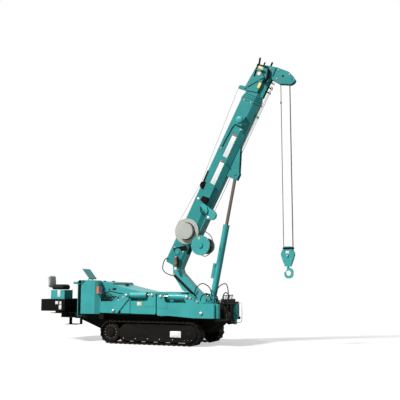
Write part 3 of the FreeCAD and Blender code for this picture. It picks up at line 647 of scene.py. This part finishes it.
for x, y, z, r in frontTrim["rings"]:
    profile = [(0, 0), (r * 0.5, 0), (r * 0.5, 12), (r, 14), (r, 60), (r * 0.8, 66), (0, 66)]
    shapes.append(turnedShape(profile, (x, y, z), (0, -1, 0), 32))
piece("front_foot_cylinder", "chassis", "teal", shapes)
piece("front_guard", "chassis", "white", [tube(frontTrim["guard"], 10)])
print("stage: front column trimmed")

# LAMPS: three lenses on the stack beside the pivot, each a drum with a bead near both ends
stack = {"place": (560, -290), "low": 2208, "step": 98, "radius": 43, "tall": 92, "bead": 2,
         "back": ((590, -264, 2345), (34, 22, 172)), "footZ": 2124,
         "foot": [(0, 0), (44, 0), (46, 6), (46, 72), (40, 80), (0, 80)]}
r, tall = stack["radius"], stack["tall"]
wide = r + stack["bead"]
profile = [(0, 0), (r, 0), (wide, 5), (r, 12), (r, tall - 12), (wide, tall - 5), (r, tall), (0, tall)]
for k, key in enumerate(("greenLens", "amberLens", "redLens")):
    place = stack["place"] + (stack["low"] + k * stack["step"],)
    piece("lens_" + key, "slewing_column", key, [turnedShape(profile, place)])

# HOOD: seams, slot, door outlines and knobs on both sides, caps on top, and rests for the folded arms
# slot and doors: x, z, width, height; seams: x, z, width; caps: x, y, z, radius, height
hood = {
    "half": 600.0, "seams": ((-235, 1417, 640), (458, 1417, 330)), "slot": (-1334, 1574, 130, 52),
    "knobs": ((-1515, 1558), (-396, 1410)), "knobRadius": 22, "line": 7,
    "doors": ((-1000, 1150, 620, 430), (-250, 1120, 640, 480), (470, 1120, 600, 480)),
    "caps": ((-1900, -250, 1788, 46, 30), (-1900, 260, 1788, 46, 30), (-1250, 0, 1668, 60, 44)),
    "rest": (226, 611, 1050), "restSize": (170, 380)
}
for side, tag in ((-1, "right"), (1, "left")):
    y = side * hood["half"]
    x, z, w, h = hood["slot"]
    dark = [facePlate((x, y, z), (w, h), 3, 8, side=side)]
    dark += [facePlate((x, y, z), (w, 10), 3, 3, side=side) for x, z, w in hood["seams"]]
    for x, z, w, h in hood["doors"]:
        line = hood["line"]
        for dx, dz, sx, sz in ((0, h / 2, w, line), (0, -h / 2, w, line), (-w / 2, 0, line, h), (w / 2, 0, line, h)):
            dark.append(facePlate((x + dx, y, z + dz), (sx, sz), 2, 2, side=side))
    piece("hood_seams_" + tag, "chassis", "black", dark)
    knobs = [k for x, z in hood["knobs"] for k in pinHead(x, y, z, hood["knobRadius"], side)]
    piece("hood_knobs_" + tag, "chassis", "black", knobs)

# REAR: blank plates as x, y, z, width, height, and the console past the seat
# after the plates come the back and foot of the lamp stack, the hood's caps and the arm rests
rear = {"plates": ((-3398, -620, 1148, 108, 92), (-3262, -620, 1140, 70, 96), (-3268, -620, 1010, 96, 128),
                   (-3357, -575, 1431, 108, 206)), "console": ((-3180, 330, 1776), (206, 150, 38))}
piece("rear_plates", "chassis", "white", [facePlate(p[:3], p[3:], 3, 6) for p in rear["plates"]])
piece("stack_back", "slewing_column", "black", [softBlock(*stack["back"], 8.0, turn=0.05)])
piece("stack_foot", "slewing_column", "white",
      [turnedShape(stack["foot"], stack["place"] + (stack["footZ"],))])
piece("hood_top_caps", "chassis", "black",
      [turnedShape([(0, 0), (r, 0), (r, h), (r * 0.7, h + 6), (0, h + 8)], (x, y, z), (0, 0, 1), 20)
       for x, y, z, r, h in hood["caps"]])
piece("far_console", "chassis", "teal", [softBlock(*rear["console"], 8.0, turn=-0.06)])
x, y, z = hood["rest"]
piece("arm_rest", "chassis", "teal",
      [facePlate((x, side * y, z), hood["restSize"], 22, 10, side=side) for side in (-1, 1)])
print("stage: hood trimmed")

# BOOM TRIM: blank strips and bolts on its sides, in the boom's measures: along, across, up
boomTrim = {"side": 190.0, "strips": ((3128, 3787), (2258, 2946)), "stripUp": -90, "stripWide": 150,
            "stripEnd": (26, 40), "boltRadius": 26,
            "bolts": ((1686, 86), (4236, -180), (4036, -180), (4880, 120), (4880, -120), (80, 150), (80, -150))}
bolts = []
for side, tag in ((-1, "right"), (1, "left")):
    y, up, wide = side * boomTrim["side"], boomTrim["stripUp"], boomTrim["stripWide"]
    past, end = boomTrim["stripEnd"]
    boomPiece("boom_strips_" + tag, "boom", "white",
              [facePlate(((a + b) / 2, y, up), (b - a, wide), 2, 6, side=side) for a, b in boomTrim["strips"]])
    boomPiece("boom_strip_ends_" + tag, "boom", "red",
              [facePlate((b + past, y, up), (end, wide), 2, 6, side=side) for a, b in boomTrim["strips"]])
    for a, u in boomTrim["bolts"]:
        bolts += pinHead(a, y, u, boomTrim["boltRadius"], side)
boomPiece("boom_bolts", "boom", "pin", bolts)

# GUIDE WHEEL of the cable: rim, hub, spokes, the rod that holds it and the plate behind it
guide = {"at": (2115, -206, 150), "rim": (96, 112, 9), "hub": (26, 16), "spokes": 5, "firstSpoke": 0.3,
         "reach": 104, "rod": [(2225, -206, 205), (2565, -206, 215)], "plate": (2115, -191, 150)}
inner, outer, half = guide["rim"]
wheel = [hoop(guide["at"], (0, 1, 0), inner, outer, half, 40, start=-half),
         disc(guide["at"], (0, 1, 0), *guide["hub"], start=-guide["hub"][1])]
for k in range(guide["spokes"]):
    a = 2 * math.pi * k / guide["spokes"] + guide["firstSpoke"]
    tip = np.add(guide["at"], (guide["reach"] * math.cos(a), 0, guide["reach"] * math.sin(a)))
    wheel.append(tube([guide["at"], tip], 9, 8, smooth=False))
wheel.append(tube(guide["rod"], 15, smooth=False))
wheel.append(disc(guide["plate"], (0, -1, 0), 98, 8, 40))
boomPiece("guide_wheel", "boom", "black", wheel)

# GRIPS and what else sits on the boom: a black ring of painted shade in the reel, black plates of painted shade on
# the open tail, a hose and pins
grip = {
    "handle": [(2995, -186, -40), (2995, -222, -50), (2980, -222, -235), (2980, -150, -245)],
    "knob": [(0, 0), (40, 0), (40, 22), (30, 34), (0, 36)], "knobs": ((4223, -168, -225), (4041, -168, -225)),
    "cap": [(0, 0), (112, 0), (112, 16), (96, 34), (50, 44), (0, 46)], "capAt": (4284, -262, -50),
    "roller": (4573, 0, -420), "rollerSize": (34, 58),
    "shadeRingAt": (672, -229, 8), "gap": (241, 262, 5), "tailShade": (108, -30), "tailShadeSize": (430, 150),
    "tailShadeTurn": -0.92, "hose": [(4130, -196, 40), (4000, -205, 82), (3700, -204, 108), (3400, -204, 128),
                                   (3327, -190, 129)],
    "pins": ((1679, -190, 114, 42), (3327, -198, 129, 24), (1318, -300, -470, 44))
}
grips = [tube(grip["handle"], 11, 10, 4)]
grips += [turnedShape(grip["knob"], place, (0, -1, -0.5)) for place in grip["knobs"]]
grips += [turnedShape(grip["cap"], grip["capAt"], (0, -1, 0), 40),
          disc(grip["roller"], (0, 1, 0), *grip["rollerSize"], start=-grip["rollerSize"][1])]
# a black ring between the reel's cap and its flange: painted shade
boomPiece("reel_shade_ring", "boom", "black", [hoop(grip["shadeRingAt"], (0, -1, 0), *grip["gap"], 64)])
# black plates on the tail's sides where its open box lies in shade: painted shade
x, z = grip["tailShade"]
boomPiece("boom_tail_shade", "boom", "black",
          [facePlate((x, side * boomTrim["side"], z), grip["tailShadeSize"], 3, 30, grip["tailShadeTurn"], side)
           for side in (-1, 1)])
boomPiece("boom_grips", "boom", "teal", grips)
boomPiece("boom_hose", "boom", "hose", [tube(grip["hose"], 9)])
boomPiece("boom_pins", "boom", "pin", [h for row in grip["pins"] for h in pinHead(*row, -1)])

# WINCH: guard rod, rim bolts, blank plate, and the motor's black coupling box with its line
winchTrim = {
    "at": (506, -602), "rim": 268, "bolts": 12, "boltRadius": 13, "face": -290, "plate": (672, -290, -475),
    "rod": [(745, -262, -440), (850, -290, -470), (930, -312, -560), (885, -312, -790), (740, -312, -940),
            (483, -312, -1003), (300, -300, -905), (262, -262, -745)],
    "box": ((1740, -238, -105), (86, 40, 120)),
    "line": [(1660, -250, -200), (1560, -300, -330), (1440, -318, -390), (1340, -312, -300),
             (1380, -262, -160), (1500, -215, -60)]
}
boomPiece("winch_guard", "boom", "darkSteel", [tube(winchTrim["rod"], 12)])
rim = []
for k in range(winchTrim["bolts"]):
    a = 2 * math.pi * k / winchTrim["bolts"]
    x, z = winchTrim["at"][0] + winchTrim["rim"] * math.cos(a), winchTrim["at"][1] + winchTrim["rim"] * math.sin(a)
    rim += pinHead(x, winchTrim["face"], z, winchTrim["boltRadius"], -1)
boomPiece("winch_bolts", "boom", "pin", rim)
boomPiece("winch_plate", "boom", "yellow", [facePlate(winchTrim["plate"], (70, 46), 3, 6)])
boomPiece("motor_coupling", "boom", "black",
          [softBlock(*winchTrim["box"], 6.0, turn=0.2), tube(winchTrim["line"], 11)])
print("stage: boom and winch trimmed")

# ROPES under the boom and the cable above it: straight lengths, each made on one body, the middle ones taken off it
# again
# underSides and aboveSides: across at the first and the last point
ropeRun = {
    "radius": 7.0, "cable": 5.0, "drum": (506, -602), "drumRadius": 139, "wide": 236, "turns": 15,
    "under": ((470, -402), (5560, -438)), "above": ((2115, 246), (5204, 541)), "underSides": (90, 42),
    "aboveSides": (-206, 0), "reel": [(2115, -206, 246), (1400, -212, 312), (690, -214, 386)],
    "joints": ((3000, 3700, "boom", "section_2"), (3700, 4400, "section_2", "section_3"),
               (4400, 5100, "section_3", "section_4"))
}
turns = np.linspace(0, 2 * np.pi * ropeRun["turns"], ropeRun["turns"] * 24)
coil = np.stack([ropeRun["drum"][0] + ropeRun["drumRadius"] * np.cos(turns),
                 -ropeRun["wide"] / 2 + ropeRun["wide"] * turns / turns[-1],
                 ropeRun["drum"][1] + ropeRun["drumRadius"] * np.sin(turns)], 1)
boomPiece("drum_rope", "drum", "rope", [tube(coil, ropeRun["radius"], 8, smooth=False)])


def straightRun(line, first, last, sides):
    # points on a line in the boom's measures, cut at two distances; y goes evenly from one side value to the other
    (a0, u0), (a1, u1) = line
    d = np.linspace(first, last, 40)
    share = (d - a0) / (a1 - a0)
    return np.stack([d, sides[0] + (sides[1] - sides[0]) * share, u0 + (u1 - u0) * share], 1)


def joinedRun(name, line, sides, radius):
    # the first length rides on the boom, the next three are made on one section each and taken off it, the last
    # rides on the head
    joints = ropeRun["joints"]
    lengths = [(line[0][0], joints[0][0], "boom", None), *joints, (joints[-1][1], line[1][0], "section_4", None)]
    for k, (a, b, first, second) in enumerate(lengths):
        run = onBoom(straightRun(line, a, b, sides))
        obj = piece("%s_%d" % (name, k), first, "rope", [tube(run, radius, 8, smooth=False)])
        if second:
            bend(obj, run)


for tag, side in (("a", -1), ("b", 1)):
    joinedRun("rope_under_" + tag, ropeRun["under"], np.multiply(ropeRun["underSides"], side), ropeRun["radius"])
joinedRun("cable_above", ropeRun["above"], ropeRun["aboveSides"], ropeRun["cable"])
boomPiece("cable_reel_run", "boom", "rope", [tube(ropeRun["reel"], ropeRun["cable"], 8)])
print("stage: boom ropes run")

# HEAD: blank plates, T handles under it, dark horns, pin heads, and the limit switch's weight on the rope
# yellow: x, z, width, height; handles: x, top, low; horns: two points along and up, radius
# rods: radius, sides, curved, points; nose and pins: x, out, z, radius
headTrim = {
    "side": -172, "yellow": ((5910, 70, 82, 150), (5425, -122, 160, 84)), "round": (5745, 48, 62),
    "handles": ((5640, -296, -440), (5490, -296, -450), (5350, -296, -450)), "handleY": 62, "grip": 36,
    "horns": ((5975, 232, 6213, 302, 29), (6000, 84, 6136, 99, 23), (6035, -121, 6212, -120, 28)),
    "nose": (5933, 84, -635, 30),
    "rods": ((9, 8, False, ((5180, 176, 262), (5672, 176, -140))),
             (24, 10, True, ((5625, 168, 150), (5900, 168, 190), (5990, 150, 215))),
             (40, 12, True, ((5560, 160, -190), (5695, 160, -250), (5960, 140, -166))),
             (14, 10, True, ((5975, 150, 215), (6010, 120, 40), (6010, 120, -120))),
             (11, 8, False, ((5820, 88, -350), (6080, 88, -340)))),
    "pins": ((6040, 84, -800, 20), (5960, 84, -985, 18), (5800, 84, -500, 20), (6060, 84, -430, 18),
             (6000, 84, -180, 18), (5240, 172, 200, 16), (5830, 172, 160, 18), (5560, 172, -60, 16),
             (5900, 172, 150, 14)),
    "weight": (3750, 0, 6889), "weightSize": (21, 30)
}
boomPiece("head_plates_yellow", "section_4", "yellow",
          [facePlate((x, headTrim["side"], z), (w, h), 3, 6) for x, z, w, h in headTrim["yellow"]])
x, z, r = headTrim["round"]
for key, wide, start, thick in (("red", r, 0, 3), ("white", r - 12, 3, 5)):
    boomPiece("head_plate_" + key, "section_4", key,
              [disc((x, headTrim["side"], z), (0, -1, 0), wide, thick, 32, start)])
dark = []
for x, top, low in headTrim["handles"]:
    for y in (-headTrim["handleY"], headTrim["handleY"]):
        dark.append(tube([(x, y, top), (x, y, low)], 9, 8, smooth=False))
        dark.append(tube([(x - headTrim["grip"], y, low), (x + headTrim["grip"], y, low)], 9, 8, smooth=False))
for x0, z0, x1, z1, r in headTrim["horns"]:
    dark.append(tube([(x0, 0, z0), (x1, 0, z1)], r, 12, smooth=False))
heads = []
for side in (-1, 1):
    x, y, z, r = headTrim["nose"]
    dark.append(disc((x, side * y, z), (0, side, 0), r, 3))
    for r, sides, curved, run in headTrim["rods"]:
        dark.append(tube(np.multiply(run, (1, side, 1)), r, sides, smooth=curved))
    for x, y, z, r in headTrim["pins"]:
        heads += pinHead(x, side * y, z, r, side)
boomPiece("head_dark", "section_4", "black", dark)
boomPiece("head_pins", "section_4", "pin", heads)
r, half = headTrim["weightSize"]
piece("switch_weight", "falls", "darkSteel", [disc(headTrim["weight"], (0, 0, 1), r, half, start=-half)])
print("stage: head trimmed")

# FALLS: the two falls of the CAD and the two beside them, each a straight run from the head down to the block, taken
# off its body
# lines: name, x and y from the hanging point, radius, low end, the node each stands for
falls = {"lines": (("fall_rear", -140.0, 0.0, 7.0, 2706.0, ("hoist_rope_rear",)),
                   ("fall_front", 140.0, 0.0, 7.0, 2706.0, ("hoist_rope_front",)),
                   ("second_fall_rear", -128, -17.0, 8.5, 2690.0, ()),
                   ("second_fall_front", 128, -17.0, 8.5, 2690.0, ())), "rows": 60}
for name, dx, y, radius, low, stands in falls["lines"]:
    x, top, rows = machine["hang"][0] + dx, machine["hang"][1], falls["rows"]
    run = np.stack([np.full(rows, x), np.full(rows, y), np.linspace(top, low, rows)], 1)
    obj = piece(name, "falls", "fall", [tube(run, radius, 10, smooth=False)], swap=stands)
    bend(obj, run)

# HOOK BLOCK: dark rope guard, blank plates and pin heads on its cheeks; pins: x, out, z, radius
hookTrim = {"pins": ((3875, 76, 2490, 30), (3770, 60, 2655, 14), (3980, 60, 2655, 14), (3775, 60, 2400, 14),
                     (3975, 60, 2400, 14)),
            "guard": ((3889, 0, 2698), (156, 70, 34)), "plate": (3875, 60, 2580), "plateSize": (96, 84)}
heads = [h for side in (-1, 1) for x, y, z, r in hookTrim["pins"] for h in pinHead(x, side * y, z, r, side)]
piece("hook_block_pins", "hook_block", "pin", heads)
piece("hook_block_guard", "hook_block", "black", [softBlock(*hookTrim["guard"], 6.0)])
x, y, z = hookTrim["plate"]
piece("hook_block_plate", "hook_block", "white",
      [facePlate((x, side * y, z), hookTrim["plateSize"], 3, 6, side=side) for side in (-1, 1)])
print("stage: hook trimmed")

# CAMERA, light and floor: metres and degrees
view = {"place": (8.668, -17.248, 1.642), "tilt": 97.74, "turn": 23.71, "lens": 57.4, "sensor": 36.0, "far": 200.0}
camera = bpy.data.objects.new("camera", bpy.data.cameras.new("camera"))
bpy.context.scene.collection.objects.link(camera)
camera.location = view["place"]
camera.rotation_euler = (math.radians(view["tilt"]), 0, math.radians(view["turn"]))
camera.data.lens = view["lens"]
camera.data.sensor_width = view["sensor"]
camera.data.clip_end = view["far"]
bpy.context.scene.camera = camera

studio = {"sky": 0.16, "sun": 4.5, "sunTurn": (46, 0, -34), "soft": 10.0, "floorHalf": 60.0, "floorZ": -0.002,
          "floorRough": 0.9, "floorBounce": 0.3, "floorSeen": 0.92, "glow": 1.1, "glowShare": 0.5}
sun = bpy.data.objects.new("sun", bpy.data.lights.new("sun", "SUN"))
sun.data.energy = studio["sun"]
sun.data.angle = math.radians(studio["soft"])
sun.rotation_euler = tuple(math.radians(a) for a in studio["sunTurn"])
bpy.context.scene.collection.objects.link(sun)

world = bpy.data.worlds.new("studio")
bpy.context.scene.world = world
world.use_nodes = True
tree = world.node_tree
rays = tree.nodes.new("ShaderNodeLightPath").outputs
seen = calc(tree, "MAXIMUM", rays["Is Camera Ray"], rays["Is Glossy Ray"])
seen = calc(tree, "MAXIMUM", seen, rays["Is Transmission Ray"])
sky = tree.nodes["Background"].inputs
sky["Color"].default_value = (1, 1, 1, 1)
tree.links.new(spread(tree, seen, 0.0, 1.0, studio["sky"], 1.0), sky["Strength"])

floorMesh = bpy.data.meshes.new("floor")
edge, z = studio["floorHalf"], studio["floorZ"]
floorMesh.from_pydata([(-edge, -edge, z), (edge, -edge, z), (edge, edge, z), (-edge, edge, z)], [], [(0, 1, 2, 3)])
floor = bpy.data.objects.new("floor", floorMesh)
bpy.context.scene.collection.objects.link(floor)
floorLook = bpy.data.materials.new("floorLook")
floorLook.use_nodes = True
tree = floorLook.node_tree
shader = tree.nodes["Principled BSDF"]
shader.inputs["Roughness"].default_value = studio["floorRough"]
seen = tree.nodes.new("ShaderNodeLightPath").outputs["Is Camera Ray"]
white = wire(tree, "Emission", {"Color": (1, 1, 1, 1), "Strength": studio["glow"]})
share = calc(tree, "MULTIPLY", seen, studio["glowShare"])
shade = spread(tree, seen, 0.0, 1.0, studio["floorBounce"], studio["floorSeen"])
tree.links.new(shade, shader.inputs["Base Color"])
mix = wire(tree, "MixShader", {0: share, 1: shader.outputs[0], 2: white.outputs[0]})
tree.links.new(mix.outputs[0], tree.nodes["Material Output"].inputs["Surface"])
floorMesh.materials.append(floorLook)
bpy.context.scene.view_settings.view_transform = "Standard"

print("stage: done")
